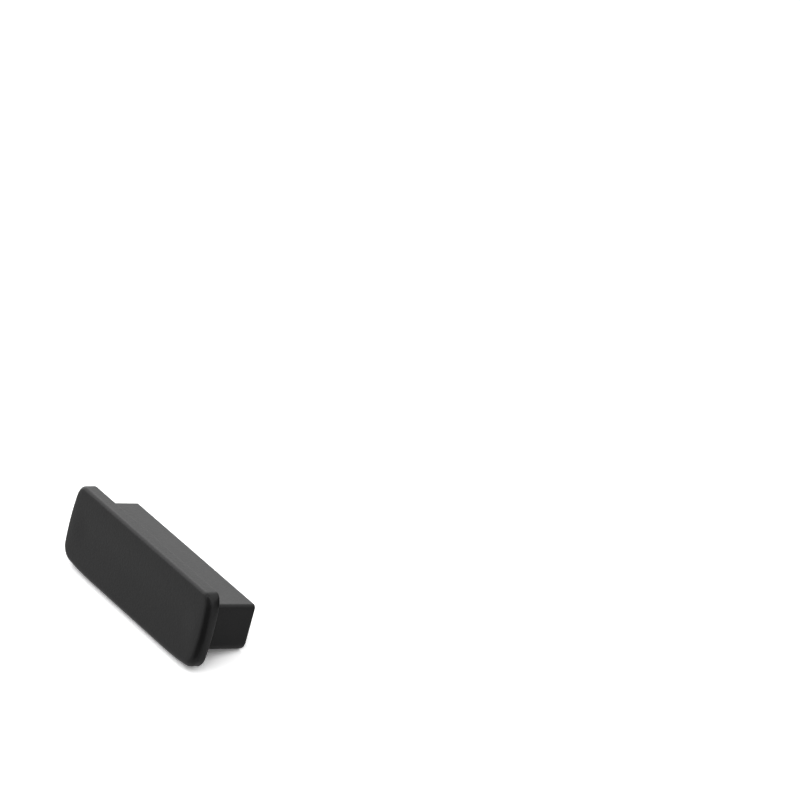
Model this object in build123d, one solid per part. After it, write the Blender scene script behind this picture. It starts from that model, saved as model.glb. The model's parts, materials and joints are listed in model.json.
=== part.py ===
from build123d import *
from math import atan2, degrees, radians, tan
import os

# End cap for a plastic handrail profile that clips over a 40 x 8 mm flat bar, one solid moulding.
# The cover closes the profile's cut end and follows its outline, and the plug fills the bar's channel.
# Millimetres. In the design frame X runs across the cap and Z up its cover, Y = 0 is the seat
# that meets the cut end, the cover stands in front of it at -Y and the plug points to +Y.

# Plug, one thick block drafted towards its end, sized at the seat
plug_width = 39.8
plug_height = 8.7
plug_depth = 8.6
plug_draft = 0.3  # degrees on each side
plug_top_radius = 0.7
plug_bottom_radius = 2.0

# Cover, with the outline of the profile's section: its walls lie against the shoulder round the plug
side_shoulder = 2.6  # the shoulder's width at each side of the plug
level_shoulder = 2.65  # its width above and below the plug
cover_width = plug_width + 2 * side_shoulder
cover_height = plug_height + 2 * level_shoulder
cover_thickness = 2.6
side_bulge = 0.65  # each side is a shallow arc that stands out this far past its corners
top_corner_radius = 2.25
bottom_corner_radius = 3.1
lip_width = 8.75  # the curved stretch at each end of the bottom edge, below the profile's lips
lip_rise = 0.7  # how far that stretch has risen where it meets the side
front_edge_radius = 1.05

# Small edges left by the mould
plug_root_radius = 0.2
edge_break = 0.12

# Sketch planes on the seat, both upright: one looks out of the profile, the other into it
out_of_profile = Plane.XZ
into_profile = Plane(origin=(0, 0, 0), x_dir=(-1, 0, 0), z_dir=(0, 1, 0))


def cover_section():
    """The cover's outline: flat top, bulged sides and a bottom edge that rises towards both ends."""
    corner_x = cover_width / 2 - side_bulge
    flat_x = corner_x - lip_width
    top = cover_height / 2
    bottom = -cover_height / 2
    with BuildSketch(out_of_profile) as section:
        with BuildLine():
            Line((0, top), (corner_x, top))
            SagittaArc((corner_x, top), (corner_x, bottom + lip_rise), side_bulge)
            TangentArc((flat_x, bottom), (corner_x, bottom + lip_rise), tangent=(1, 0))
            Line((flat_x, bottom), (0, bottom))
            mirror(about=Plane.YZ)
        make_face()
        fillet(section.vertices().group_by(Axis.Y)[-1], radius=top_corner_radius)
        fillet(section.vertices().group_by(Axis.Y)[1], radius=bottom_corner_radius)
    return section.sketch


def plug_section():
    """The plug's outline at the seat, with tighter corners along the top than along the bottom."""
    with BuildSketch(into_profile) as section:
        Rectangle(plug_width, plug_height)
        fillet(section.vertices().group_by(Axis.Y)[-1], radius=plug_top_radius)
        fillet(section.vertices().group_by(Axis.Y)[0], radius=plug_bottom_radius)
    return section.sketch


def rounded_cover():
    """The plate that closes the profile, with its large front radius."""
    cover = extrude(cover_section(), amount=cover_thickness)
    cover = fillet(cover.faces().sort_by(Axis.Y)[0].edges(), radius=front_edge_radius)
    return fillet(cover.faces().sort_by(Axis.Y)[-1].edges(), radius=edge_break)


def drafted_plug():
    """The block that fills the bar's channel, tapered a little so that it leaves the mould."""
    block = extrude(plug_section(), amount=plug_depth)
    sides = block.faces().filter_by(Axis.Y, reverse=True)
    return draft(sides, neutral_plane=into_profile, angle=plug_draft)


def end_cap():
    """The whole moulding in the design frame."""
    cap = rounded_cover() + drafted_plug()
    seat = cap.faces().filter_by(Axis.Y).sort_by(Axis.Y)[1]
    cap = fillet(seat.inner_wires().edges(), radius=plug_root_radius)
    plug_end = cap.faces().sort_by(Axis.Y)[-1]
    return fillet(plug_end.edges(), radius=edge_break)


def resting_lean():
    """How far the cap leans back, in degrees, when it lies on the lower edges of its seat and its plug."""
    plug_end_rise = level_shoulder + plug_depth * tan(radians(plug_draft))
    return degrees(atan2(plug_end_rise, plug_depth))


def at_rest(part):
    """The part leaning back on the ground plane, centred over the origin."""
    leaning = Rot(X=-resting_lean()) * part
    box = leaning.bounding_box()
    return Pos(-box.center().X, -box.center().Y, -box.min.Z) * leaning


os.makedirs("parts", exist_ok=True)
cap = at_rest(end_cap())
cap.label = "end_cap"
export_step(cap, "parts/end_cap.step")
size = cap.bounding_box().size
print(f"end_cap {size.X:.2f} x {size.Y:.2f} x {size.Z:.2f} mm, leaning back {resting_lean():.2f} degrees")
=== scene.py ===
import json
from math import atan2, ceil, cos, pi, radians, sin, sqrt, tan

import bmesh
import bpy
from mathutils import Matrix, Vector, noise
from mathutils.geometry import delaunay_2d_cdt


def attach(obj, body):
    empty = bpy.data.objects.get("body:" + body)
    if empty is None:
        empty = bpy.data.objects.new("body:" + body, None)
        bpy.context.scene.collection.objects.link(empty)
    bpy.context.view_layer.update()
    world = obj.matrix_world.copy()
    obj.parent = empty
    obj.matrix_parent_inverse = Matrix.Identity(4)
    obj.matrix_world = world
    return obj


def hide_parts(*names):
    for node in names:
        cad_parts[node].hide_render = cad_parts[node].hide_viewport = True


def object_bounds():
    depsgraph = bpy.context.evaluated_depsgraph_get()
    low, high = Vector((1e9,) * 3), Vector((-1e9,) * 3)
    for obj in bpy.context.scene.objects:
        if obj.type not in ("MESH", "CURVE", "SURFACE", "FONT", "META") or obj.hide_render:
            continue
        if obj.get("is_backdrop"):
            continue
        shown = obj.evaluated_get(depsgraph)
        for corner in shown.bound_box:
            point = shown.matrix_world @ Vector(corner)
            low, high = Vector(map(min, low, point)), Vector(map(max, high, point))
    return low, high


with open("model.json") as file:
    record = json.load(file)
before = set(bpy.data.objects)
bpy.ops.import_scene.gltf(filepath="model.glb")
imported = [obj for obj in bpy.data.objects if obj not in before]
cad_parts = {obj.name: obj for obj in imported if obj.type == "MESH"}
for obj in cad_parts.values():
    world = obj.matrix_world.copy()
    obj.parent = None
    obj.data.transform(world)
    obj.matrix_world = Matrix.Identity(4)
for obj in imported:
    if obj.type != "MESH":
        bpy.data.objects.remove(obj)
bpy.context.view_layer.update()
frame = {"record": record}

# Profile end cap: one black moulding, a cover with a solid plug behind it.
# The cap is drawn in millimetres in its own frame: X across the cover, Z up it, Y = 0 at the seat,
# the cover towards -Y and the plug towards +Y. Then it leans back into the place that the record gives.

mm = 0.001
scene = bpy.context.scene
scene.view_settings.view_transform = "Standard"


# Small helpers

def linear(hexColour):
    # sRGB hex to the linear values that the shaders take
    parts = [int(hexColour[i:i + 2], 16) / 255 for i in (1, 3, 5)]
    return [c / 12.92 if c <= 0.04045 else ((c + 0.055) / 1.055) ** 2.4 for c in parts] + [1.0]


def spread(first, last, count):
    # even values from first up to, but not including, last
    return [first + (last - first) * i / count for i in range(count)]


def ramp(value, first, last):
    # rises smoothly from 0 at first to 1 at last
    share = min(max((value - first) / (last - first), 0.0), 1.0)
    return share * share * (3 - 2 * share)


def wayTo(azimuth, elevation):
    # the direction in which something stands: azimuth 0 is at -Y and 90 at +X, both in degrees
    around, up = radians(azimuth), radians(elevation)
    return Vector((sin(around) * cos(up), -cos(around) * cos(up), sin(up)))


def addObject(name, data):
    # a mesh, a light or a camera, put into the scene
    thing = bpy.data.objects.new(name, data)
    scene.collection.objects.link(thing)
    return thing


# Outlines. A station is a centre, a direction and a reach, so one list of stations draws
# the outline itself and every ring that lies a given distance inside or outside it.

# How many stations each stretch of half an outline has.
steps = {"top": 64, "topCorner": 14, "side": 18, "bottomCorner": 16, "lip": 24, "bottom": 40}


def arcStations(centre, reach, first, last, count):
    return [(*centre, cos(a), sin(a), reach) for a in spread(first, last, count)]


def levelStations(firstX, lastX, direction, reach, count):
    return [(x, 0.0, 0.0, direction, reach) for x in spread(firstX, lastX, count)]


def uprightStations(firstZ, lastZ, reach, count):
    return [(0.0, z, 1.0, 0.0, reach) for z in spread(firstZ, lastZ, count)]


def mirrored(half):
    # the right half runs from top centre to bottom centre, and the left half comes back up
    return half + [(-x, z, -dx, dz, reach) for x, z, dx, dz, reach in reversed(half[1:-1])]


def ring(stations, inset, y):
    return [Vector((x + (reach - inset) * dx, y, z + (reach - inset) * dz))
            for x, z, dx, dz, reach in stations]


def bend(start, end, leaves, count):
    # a quarter round between two (inset, y) places that leaves the first along the seat or away from it
    rows = []
    for a in spread(0, pi / 2, count) + [pi / 2]:
        share = (sin(a), 1 - cos(a)) if leaves == "along" else (1 - cos(a), sin(a))
        rows.append(tuple(s + (e - s) * k for s, e, k in zip(start, end, share)))
    return rows


# Cover

cover = {
    "width": 45.0,
    "height": 14.0,
    "thickness": 2.6,
    "sideBulge": 0.65,
    "topCorner": 2.25,
    "bottomCorner": 3.1,
    "lipWidth": 8.75,  # the stretch at each end of the bottom edge that curves up
    "lipRise": 0.7,
    "frontEdge": 1.05,
    "frontDepthAtSides": 1.25,  # the front round reaches further back at the sides
    "backEdge": 0.22,
    "topFrontEdge": 0.7,  # both rounds are tighter along the top
    "topBackEdge": 0.12,
    "sideDraw": 0.36,  # each side is drawn in this far at the seat
    "drawStart": 2.3,  # the drawing in grows between these distances from the side
    "drawFull": 0.5,
    "cornerDraw": 0.4,  # the share of it at the bottom corners
    "cornerDrawBottom": -6.44,  # which grows to the whole between these heights
    "cornerDrawTop": -2.94,
    "topFall": 0.12,  # the top falls this far towards the face
}


def circlesMeet(centreA, reachA, centreB, reachB):
    # the lower right of the two places where two circles cross
    apart = Vector(centreB) - Vector(centreA)
    along = (apart.length_squared + reachA ** 2 - reachB ** 2) / (2 * apart.length)
    across = sqrt(reachA ** 2 - along ** 2)
    way = apart.normalized()
    meets = [Vector(centreA) + way * along + Vector((-way.y, way.x)) * across * k for k in (1, -1)]
    return tuple(min(meets, key=lambda p: p.y - p.x))


def coverStations():
    c = cover
    top = c["height"] / 2
    chord = c["height"] - c["lipRise"]
    sideReach = (chord ** 2 / 4 + c["sideBulge"] ** 2) / (2 * c["sideBulge"])
    sideCentre = (c["width"] / 2 - sideReach, c["lipRise"] / 2)
    lipReach = (c["lipWidth"] ** 2 + c["lipRise"] ** 2) / (2 * c["lipRise"])
    lipStart = c["width"] / 2 - c["sideBulge"] - c["lipWidth"]
    lipCentre = (lipStart, lipReach - top)

    # the top corner touches the flat top and the side's arc
    upper = top - c["topCorner"]
    rise = upper - sideCentre[1]
    upperX = sideCentre[0] + sqrt((sideReach - c["topCorner"]) ** 2 - rise ** 2)
    upperAngle = atan2(rise, upperX - sideCentre[0])

    # the bottom corner touches the side's arc and the lip's arc
    lowerCentre = circlesMeet(sideCentre, sideReach - c["bottomCorner"],
                              lipCentre, lipReach - c["bottomCorner"])
    lowerAngle = atan2(lowerCentre[1] - sideCentre[1], lowerCentre[0] - sideCentre[0])
    lipAngle = atan2(lowerCentre[1] - lipCentre[1], lowerCentre[0] - lipCentre[0])

    half = levelStations(0, upperX, 1, top, steps["top"])
    half += arcStations((upperX, upper), c["topCorner"], pi / 2, upperAngle, steps["topCorner"])
    half += arcStations(sideCentre, sideReach, upperAngle, lowerAngle, steps["side"])
    half += arcStations(lowerCentre, c["bottomCorner"], lowerAngle, lipAngle, steps["bottomCorner"])
    half += arcStations(lipCentre, lipReach, lipAngle, -pi / 2, steps["lip"])
    half += levelStations(lipStart, 0, -1, top, steps["bottom"])
    return mirrored(half + [(0.0, 0.0, 0.0, -1, top)])


# Plug

plug = {
    "width": 39.8,
    "height": 8.7,
    "depth": 8.6,
    "draft": radians(0.3),
    "topCorner": 0.7,
    "bottomCorner": 2.0,
    "root": 0.2,
    "endEdge": 0.12,
}


def plugStations():
    p = plug
    side = p["width"] / 2
    top = p["height"] / 2
    upper = (side - p["topCorner"], top - p["topCorner"])
    lower = (side - p["bottomCorner"], p["bottomCorner"] - top)
    half = levelStations(0, upper[0], 1, top, steps["top"])
    half += arcStations(upper, p["topCorner"], pi / 2, 0, steps["topCorner"])
    half += uprightStations(upper[1], lower[1], side, steps["side"])
    half += arcStations(lower, p["bottomCorner"], 0, -pi / 2, steps["bottomCorner"])
    half += levelStations(lower[0], 0, -1, top, steps["lip"] + steps["bottom"])
    return mirrored(half + [(0.0, 0.0, 0.0, -1, top)])


# Shrinkage. The thick plug draws the cover's face in as it cools, into a shallow dish over the plug's
# footprint, and the face rounds off a little before its edges. The plug's own faces sink a little too.

shrinkage = {
    "dishDepth": 0.09,
    "dishHalfHeight": 4.3,
    "dishHalfWidth": 20.4,
    "dishEnd": 4.5,  # the dish comes up to the surface over this length at its two ends
    "rollDepth": 0.036,
    "rollStartZ": 4.3,
    "rollStartX": 19.8,
    "rollLength": 1.6,
    "waviness": 0.004,
    "waveLength": 7.0,
    "plugSink": 0.045,
    "plugSinkEnd": 7.0,  # the plug's broad faces come up to the surface over this length at each end
    "plugEndSink": 0.07,
}


def faceDrop(x, z):
    # how far the cover's face stands back from flat, in mm
    s = shrinkage
    upDish = cos(min(abs(z) / s["dishHalfHeight"], 1) * pi / 2) ** 2
    alongDish = ramp(s["dishHalfWidth"] - abs(x), 0, s["dishEnd"])
    rollZ = max(abs(z) - s["rollStartZ"], 0) / s["rollLength"]
    rollX = max(abs(x) - s["rollStartX"], 0) / s["rollLength"]
    wave = noise.noise(Vector((x, 0, z)) / s["waveLength"]) + 1
    return (s["dishDepth"] * upDish * alongDish + s["rollDepth"] * (rollZ ** 2 + rollX ** 2)
            + s["waviness"] * wave)


def sinkPlug(point):
    # draws the plug's four sides and its end in, most at the middle of each
    s, p = shrinkage, plug
    halfWidth, halfHeight = p["width"] / 2, p["height"] / 2
    alongDepth = 1 - (2 * point.y / p["depth"] - 1) ** 2
    alongWidth = ramp(halfWidth - abs(point.x), 0, s["plugSinkEnd"])
    alongHeight = max(1 - (point.z / halfHeight) ** 2, 0)
    nearEnd = ramp(point.y, p["depth"] / 2, p["depth"])
    return Vector((
        point.x * (1 - s["plugSink"] * alongDepth * alongHeight / halfWidth),
        point.y - s["plugEndSink"] * alongHeight * alongWidth * nearEnd,
        point.z * (1 - s["plugSink"] * alongDepth * alongWidth / halfHeight)))


# Mesh

# The spacing of the points on the two flat ends, in mm, and the number of rings along each other stretch.
grid = {"face": 0.32, "plugEnd": 0.6, "plugRings": 18, "coverRings": 4,
        "frontEdge": 14, "backEdge": 7, "root": 4, "endEdge": 4}


def insideRing(x, z, outline):
    inside = False
    for a, b in zip(outline, outline[1:] + outline[:1]):
        if (a.z > z) != (b.z > z) and x < a.x + (b.x - a.x) * (z - a.z) / (b.z - a.z):
            inside = not inside
    return inside


def fill(bm, rim, margin, spacing):
    # even triangles inside a ring, with their own points on a staggered grid kept clear of the rim
    outline = [v.co for v in rim]
    y = outline[0].y
    width = max(p.x for p in outline)
    height = max(abs(p.z) for p in outline)
    rowStep = spacing * 0.866  # the height of an even triangle
    rows = ceil(height / rowStep)
    columns = ceil(width / spacing)
    places = []
    for row in range(-rows, rows + 1):
        shift = spacing / 2 if row % 2 else 0
        for column in range(-columns, columns + 1):
            x, z = column * spacing + shift, row * rowStep
            if insideRing(x, z, margin):
                places.append((x, z))
    flat = [Vector((p.x, p.z)) for p in outline] + [Vector(p) for p in places]
    border = list(range(len(outline)))
    insideOnly, tolerance = 1, 1e-6
    points, _, triangles, origins, _, _ = delaunay_2d_cdt(flat, [], [border], insideOnly, tolerance)
    corners = []
    for point, sources in zip(points, origins):
        onRim = bool(sources) and sources[0] < len(rim)
        corners.append(rim[sources[0]] if onRim else bm.verts.new((point.x, y, point.y)))
    for triangle in triangles:
        bm.faces.new([corners[k] for k in triangle])


def roundRows(stations, path, startY, topShare, sideDepth):
    # rings along a round that is smaller where the cover looks up, and of another depth where it looks
    # sideways. dz and dx say how much the outline looks up and sideways, from 0 to 1, so the round changes
    # bit by bit along the corners
    rows = []
    for inset, y in path:
        row = []
        for x, z, dx, dz, reach in stations:
            share = 1 - (1 - topShare) * ramp(dz, 0.5, 1)
            depth = share + (sideDepth - 1) * ramp(abs(dx), 0.1875, 0.8125)
            out = reach - inset * share
            row.append(Vector((x + out * dx, startY + (y - startY) * depth, z + out * dz)))
        rows.append(row)
    return rows


def drawnIn(point):
    # the cover's sides come in towards the seat, less at the bottom corners, and its top falls to the front
    c = cover
    side = 1 if point.x > 0 else -1
    back = max(1 + point.y / c["thickness"], 0) ** 3
    up = c["cornerDraw"] + (1 - c["cornerDraw"]) * ramp(point.z, c["cornerDrawBottom"], c["cornerDrawTop"])
    outer = ramp(abs(point.x) - c["width"] / 2, -c["drawStart"], -c["drawFull"])
    fall = ramp(point.z, c["height"] / 4, c["height"] / 2) * -point.y / c["thickness"]
    return point - Vector((side * c["sideDraw"] * back * up * outer, 0, c["topFall"] * fall))


def buildCap():
    coverLine = coverStations()
    plugLine = plugStations()
    c, p = cover, plug
    front = -c["thickness"]
    rows = []
    path = bend((c["frontEdge"], front), (0, front + c["frontEdge"]), "along", grid["frontEdge"])
    rows += roundRows(coverLine, path, front, c["topFrontEdge"] / c["frontEdge"],
                      c["frontDepthAtSides"] / c["frontEdge"])
    for y in spread(front + c["frontDepthAtSides"], -c["backEdge"], grid["coverRings"])[1:]:
        rows.append(ring(coverLine, 0, y))
    path = bend((0, -c["backEdge"]), (c["backEdge"], 0), "away", grid["backEdge"])
    rows += roundRows(coverLine, path, 0, c["topBackEdge"] / c["backEdge"], 1)

    def taper(y):
        return y * tan(p["draft"])

    for inset, y in bend((-p["root"], 0), (0, p["root"]), "along", grid["root"]):
        rows.append(ring(plugLine, inset + taper(y), y))
    endEdge = p["depth"] - p["endEdge"]
    for y in spread(p["root"], endEdge, grid["plugRings"])[1:]:
        rows.append(ring(plugLine, taper(y), y))
    for inset, y in bend((0, endEdge), (p["endEdge"], p["depth"]), "away", grid["endEdge"]):
        rows.append(ring(plugLine, inset + taper(y), y))

    bm = bmesh.new()
    rings = [[bm.verts.new(point) for point in row] for row in rows]
    for near, far in zip(rings, rings[1:]):
        for i in range(len(near)):
            j = (i + 1) % len(near)
            bm.faces.new((near[i], near[j], far[j], far[i]))
    fill(bm, rings[0], ring(coverLine, c["frontEdge"] + grid["face"] / 2, front), grid["face"])
    fill(bm, rings[-1], ring(plugLine, grid["plugEnd"], p["depth"]), grid["plugEnd"])

    for v in bm.verts:
        if v.co.y < front + c["frontEdge"]:
            nearness = (front + c["frontEdge"] - v.co.y) / c["frontEdge"]  # fades out round the edge
            v.co.y += faceDrop(v.co.x, v.co.z) * nearness
        if v.co.y <= 0:
            v.co = drawnIn(v.co)
        elif v.co.y > p["root"]:
            v.co = sinkPlug(v.co)
    bmesh.ops.recalc_face_normals(bm, faces=bm.faces)
    mesh = bpy.data.meshes.new("end_cap_moulding")
    bm.to_mesh(mesh)
    bm.free()
    mesh.shade_smooth()
    return mesh


def placed(mesh):
    # the record's plug mount gives the middle of the seat and the way the plug points
    mount = next(m for m in frame["record"]["mounts"] if m["name"] == "plug")
    lean = atan2(mount["axis"][2], mount["axis"][1])
    turned = Matrix.Rotation(lean, 4, "X") @ Matrix.Scale(mm, 4)
    mesh.transform(Matrix.Translation(mount["pos_m"]) @ turned)
    cap = addObject("moulded_end_cap", mesh)
    evenShading = cap.modifiers.new("evenShading", "WEIGHTED_NORMAL")  # broad flats rule the small rounds
    evenShading.keep_sharp = True
    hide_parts("end_cap")
    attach(cap, "root")
    return cap


cap = placed(buildCap())
print("cap made:", len(cap.data.polygons), "faces")


# Materials

def newMaterial(name):
    material = bpy.data.materials.new(name)
    material.use_nodes = True
    material.node_tree.nodes.clear()
    return material, material.node_tree


def addNode(tree, kind, settings=None, links=None):
    # settings are properties, or inputs by name or number, and links join an input to an output elsewhere
    node = tree.nodes.new(kind)
    for name, value in (settings or {}).items():
        if isinstance(name, str) and hasattr(node, name):
            setattr(node, name, value)
        else:
            node.inputs[name].default_value = value
    for name, source in (links or {}).items():
        tree.links.new(source, node.inputs[name])
    return node


# Black rigid PVC, injection moulded. Carbon black leaves almost no colour of its own, so the eye sees the
# satin skin: a soft reflection with a fine spark-eroded grain, a little cloudy where the melt flowed.

blackPvc = {
    "colour": "#151516",
    "cloudColour": "#181818",
    "cloudSize": 5.0,  # mm
    "ior": 1.285,  # rigid PVC has 1.53, but the matt skin reflects less than a polished one
    "roughness": (0.3, 0.33),  # smoothest and roughest place of the flow marks
    "flowLength": 14.0,  # mm, along the cover
    "flowWidth": 2.2,
    "grainSize": 0.17,  # the mould's grain is about 0.08 mm, drawn twice as coarse so that it shows
    "grainDepth": 0.016,
    "craterSize": 0.42,  # the larger spark marks between the fine ones
    "craterDepth": 0.01,
}


def mouldedPvc():
    p = blackPvc
    material, tree = newMaterial("mouldedPvc")
    place = addNode(tree, "ShaderNodeTexCoord")
    inMm = addNode(tree, "ShaderNodeMapping", {"Scale": (1 / mm, 1 / mm, 1 / mm)},
                   {"Vector": place.outputs["Object"]})
    across = (1 / mm / p["flowLength"], 1 / mm / p["flowWidth"], 1 / mm / p["flowWidth"])
    alongFlow = addNode(tree, "ShaderNodeMapping", {"Scale": across}, {"Vector": place.outputs["Object"]})

    cloud = addNode(tree, "ShaderNodeTexNoise", {"Scale": 1 / p["cloudSize"], "Detail": 3.0},
                    {"Vector": inMm.outputs[0]})
    colour = addNode(tree, "ShaderNodeMix", {  # 6 and 7 are the node's two colours, and 2 is the mixed one
        "data_type": "RGBA", 6: linear(p["colour"]), 7: linear(p["cloudColour"])}, {0: cloud.outputs[0]})
    flow = addNode(tree, "ShaderNodeTexNoise", {"Scale": 1.0, "Detail": 2.0, "Distortion": 0.4},
                   {"Vector": alongFlow.outputs[0]})
    skin = addNode(tree, "ShaderNodeMapRange", {  # nearly all of the noise lies between 0.3 and 0.7
        "From Min": 0.3, "From Max": 0.7, "To Min": p["roughness"][0], "To Max": p["roughness"][1]},
        {"Value": flow.outputs[0]})

    crater = addNode(tree, "ShaderNodeTexVoronoi", {
        "feature": "SMOOTH_F1", "Scale": 1 / p["craterSize"], "Smoothness": 0.5},
        {"Vector": inMm.outputs[0]})
    craterBump = addNode(tree, "ShaderNodeBump", {"Strength": 1.0, "Distance": p["craterDepth"] * mm},
                         {"Height": crater.outputs["Distance"]})
    grain = addNode(tree, "ShaderNodeTexNoise", {"Scale": 1 / p["grainSize"], "Detail": 1.0},
                    {"Vector": inMm.outputs[0]})
    grainBump = addNode(tree, "ShaderNodeBump", {"Strength": 1.0, "Distance": p["grainDepth"] * mm},
                        {"Height": grain.outputs[0], "Normal": craterBump.outputs[0]})

    shader = addNode(tree, "ShaderNodeBsdfPrincipled", {"IOR": p["ior"]}, {
        "Base Color": colour.outputs[2], "Roughness": skin.outputs[0], "Normal": grainBump.outputs[0]})
    addNode(tree, "ShaderNodeOutputMaterial", links={"Surface": shader.outputs[0]})
    return material


cap.data.materials.append(mouldedPvc())
print("plastic made")


# Studio: a pale table that fades into white, soft lamps all round from above, and dark cards on the right

studio = {
    "floorHalf": 1.5,  # metres
    "floorDrop": 0.01,  # mm below the cap, so that the two share no plane
    "tableColour": "#dadada",
    "tableLift": 2.02,  # how much brighter the camera sees the table than it is
    "tableHaze": 0.1,  # and the white that it sees over it
    "fadeFrom": 0.1,  # metres from the cap between which the table turns into the plain white background
    "fadeTo": 0.3,
    "roomLight": 0.2,  # what the room adds to the lamps
}


def whiteRays(tree):
    # 1 for the rays that show the white background: straight from the camera, reflected or let through
    path = addNode(tree, "ShaderNodeLightPath")
    either = addNode(tree, "ShaderNodeMath", {"operation": "MAXIMUM"}, {
        0: path.outputs["Is Camera Ray"], 1: path.outputs["Is Glossy Ray"]})
    return addNode(tree, "ShaderNodeMath", {"operation": "MAXIMUM"}, {
        0: either.outputs[0], 1: path.outputs["Is Transmission Ray"]}).outputs[0]


def paleTable():
    # light grey paper under the lamps. The camera sees it brighter and through a white haze, so that only
    # the deeper part of the shadow stays, and further off it turns into the plain white background
    s = studio
    material, tree = newMaterial("paleTable")
    material.cycles.emission_sampling = "NONE"  # the white that is shown lights nothing
    paper = addNode(tree, "ShaderNodeBsdfDiffuse", {"Color": linear(s["tableColour"])})
    lifted = [c * s["tableLift"] for c in linear(s["tableColour"])]
    bright = addNode(tree, "ShaderNodeBsdfDiffuse", {"Color": lifted})
    haze = addNode(tree, "ShaderNodeEmission", {"Strength": s["tableHaze"]})
    exposed = addNode(tree, "ShaderNodeAddShader", links={0: bright.outputs[0], 1: haze.outputs[0]})
    plain = addNode(tree, "ShaderNodeEmission", {"Strength": 1.0})
    rays = addNode(tree, "ShaderNodeLightPath")
    near = addNode(tree, "ShaderNodeMixShader", links={
        0: rays.outputs["Is Camera Ray"], 1: paper.outputs[0], 2: exposed.outputs[0]})
    place = addNode(tree, "ShaderNodeNewGeometry")
    away = addNode(tree, "ShaderNodeVectorMath", {"operation": "LENGTH"}, {0: place.outputs["Position"]})
    fade = addNode(tree, "ShaderNodeMapRange", {
        "interpolation_type": "SMOOTHSTEP", "From Min": s["fadeFrom"], "From Max": s["fadeTo"]},
        {"Value": away.outputs["Value"]})
    seen = addNode(tree, "ShaderNodeMixShader", links={
        0: fade.outputs[0], 1: near.outputs[0], 2: plain.outputs[0]})
    table = addNode(tree, "ShaderNodeMixShader", links={
        0: whiteRays(tree), 1: paper.outputs[0], 2: seen.outputs[0]})
    addNode(tree, "ShaderNodeOutputMaterial", links={"Surface": table.outputs[0]})
    return material


def buildFloor():
    mesh = bpy.data.meshes.new("floor")
    half, level = studio["floorHalf"], -studio["floorDrop"] * mm
    corners = [(-half, -half, level), (half, -half, level), (half, half, level), (-half, half, level)]
    mesh.from_pydata(corners, [], [(0, 1, 2, 3)])
    mesh.materials.append(paleTable())
    floor = addObject("floor", mesh)
    floor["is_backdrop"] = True


# Each lamp's azimuth and elevation in degrees, and its strength, where 1 lights a sheet that faces the lamp
# to its own colour.
softLamps = {
    "leftSoftbox": (-90, 32, 0.75),
    "backLeftSoftbox": (-135, 35, 0.2),
    "backRightFill": (135, 45, 0.3),
    "frontTopFill": (45, 55, 0.75),
}
lampDistance = 0.9  # metres
lampSize = 1.2


def buildLamp(name):
    azimuth, elevation, strength = softLamps[name]
    way = wayTo(azimuth, elevation)
    light = bpy.data.lights.new(name, "AREA")
    light.shape = "DISK"
    light.size = lampSize
    light.energy = strength * pi ** 2 * lampDistance ** 2
    lamp = addObject(name, light)
    lamp.location = way * lampDistance
    lamp.rotation_mode = "QUATERNION"
    lamp.rotation_quaternion = way.to_track_quat("Z", "Y")
    lamp.visible_camera = False


def buildWorld():
    world = bpy.data.worlds.new("studio")
    world.use_nodes = True
    scene.world = world
    tree = world.node_tree
    tree.nodes.clear()
    white = linear("#ffffff")
    room = addNode(tree, "ShaderNodeBackground", {"Color": white, "Strength": studio["roomLight"]})
    plain = addNode(tree, "ShaderNodeBackground", {"Color": white, "Strength": 1.0})
    seen = addNode(tree, "ShaderNodeMixShader", links={
        0: whiteRays(tree), 1: room.outputs[0], 2: plain.outputs[0]})
    addNode(tree, "ShaderNodeOutputWorld", links={"Surface": seen.outputs[0]})
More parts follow.
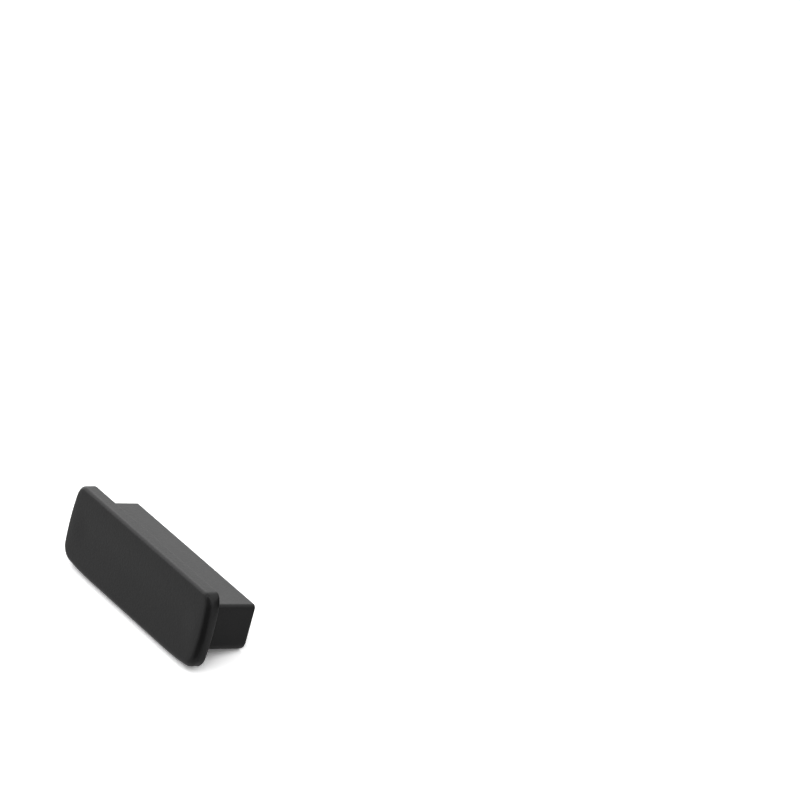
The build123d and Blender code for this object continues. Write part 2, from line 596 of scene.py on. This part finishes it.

# Studio: a pale table that fades into white, soft lamps from above, and dark cards of painted shade on the
# right

# Painted shade for the cap's reflections: one card stands for the unlit side of the room at the front
# right, and a low one for the shade that lies behind on the right. Azimuths are seen from the cap's right
# end, and the other measures are in mm from it.
shadeCards = {
    "roomCard": {"from": 4, "to": 80, "near": 10, "far": 30, "height": 90},
    "lowCard": {"from": 140, "to": 216, "near": 17, "far": 75, "height": 36},
}
# the grey of the painted shade that the cap's reflections see
shadeCardColour = "#404040"
cardLift = 0.3  # mm over the table
cardColumns = 12  # straight strips along an arc


def buildShadeCard(name):
    # an arc of painted shade on the table that stands up at its far side, for the cap's reflections alone
    c = shadeCards[name]
    material, tree = newMaterial(name)
    # painted shade: a plain dark grey that only the cap's reflections see
    paintedShadeBsdf = addNode(tree, "ShaderNodeBsdfDiffuse", {"Color": linear(shadeCardColour)})
    addNode(tree, "ShaderNodeOutputMaterial", links={"Surface": paintedShadeBsdf.outputs[0]})
    foot = [(c["near"], cardLift), (c["far"], cardLift), (c["far"], c["height"])]
    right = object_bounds()[1][0]
    columns = [radians(a) for a in spread(c["from"], c["to"], cardColumns) + [c["to"]]]
    corners = [(right + reach * mm * sin(a), -reach * mm * cos(a), z * mm)
               for a in columns for reach, z in foot]
    faces = []
    for i in range(len(columns) - 1):
        for j in range(len(foot) - 1):
            k = i * len(foot) + j
            faces.append((k, k + 1, k + 1 + len(foot), k + len(foot)))
    mesh = bpy.data.meshes.new(name)
    mesh.from_pydata(corners, [], faces)
    mesh.materials.append(material)
    card = addObject(name, mesh)
    for ray in ("camera", "diffuse", "shadow", "transmission"):
        setattr(card, "visible_" + ray, False)
    card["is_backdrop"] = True


buildFloor()
buildWorld()
for name in shadeCards:
    buildShadeCard(name)
for name in softLamps:
    buildLamp(name)
print("studio made")


# Camera

# In degrees and metres, with the lens in mm on a 36 mm sensor.
view = {"azimuth": 57.96, "elevation": 28.93, "distance": 0.9, "lens": 226.3, "roll": 0.1,
        "aim": (-0.03946, 0.0717, -0.00017)}


def buildCamera():
    way = wayTo(view["azimuth"], view["elevation"])
    lens = bpy.data.cameras.new("camera")
    lens.lens = view["lens"]
    lens.sensor_width = 36
    lens.clip_start = 0.01
    lens.clip_end = 10
    camera = addObject("camera", lens)
    camera.location = Vector(view["aim"]) + way * view["distance"]
    camera.rotation_mode = "QUATERNION"
    upright = way.to_track_quat("Z", "Y")
    camera.rotation_quaternion = upright @ Matrix.Rotation(radians(view["roll"]), 4, "Z").to_quaternion()
    scene.camera = camera


buildCamera()
print("camera made")
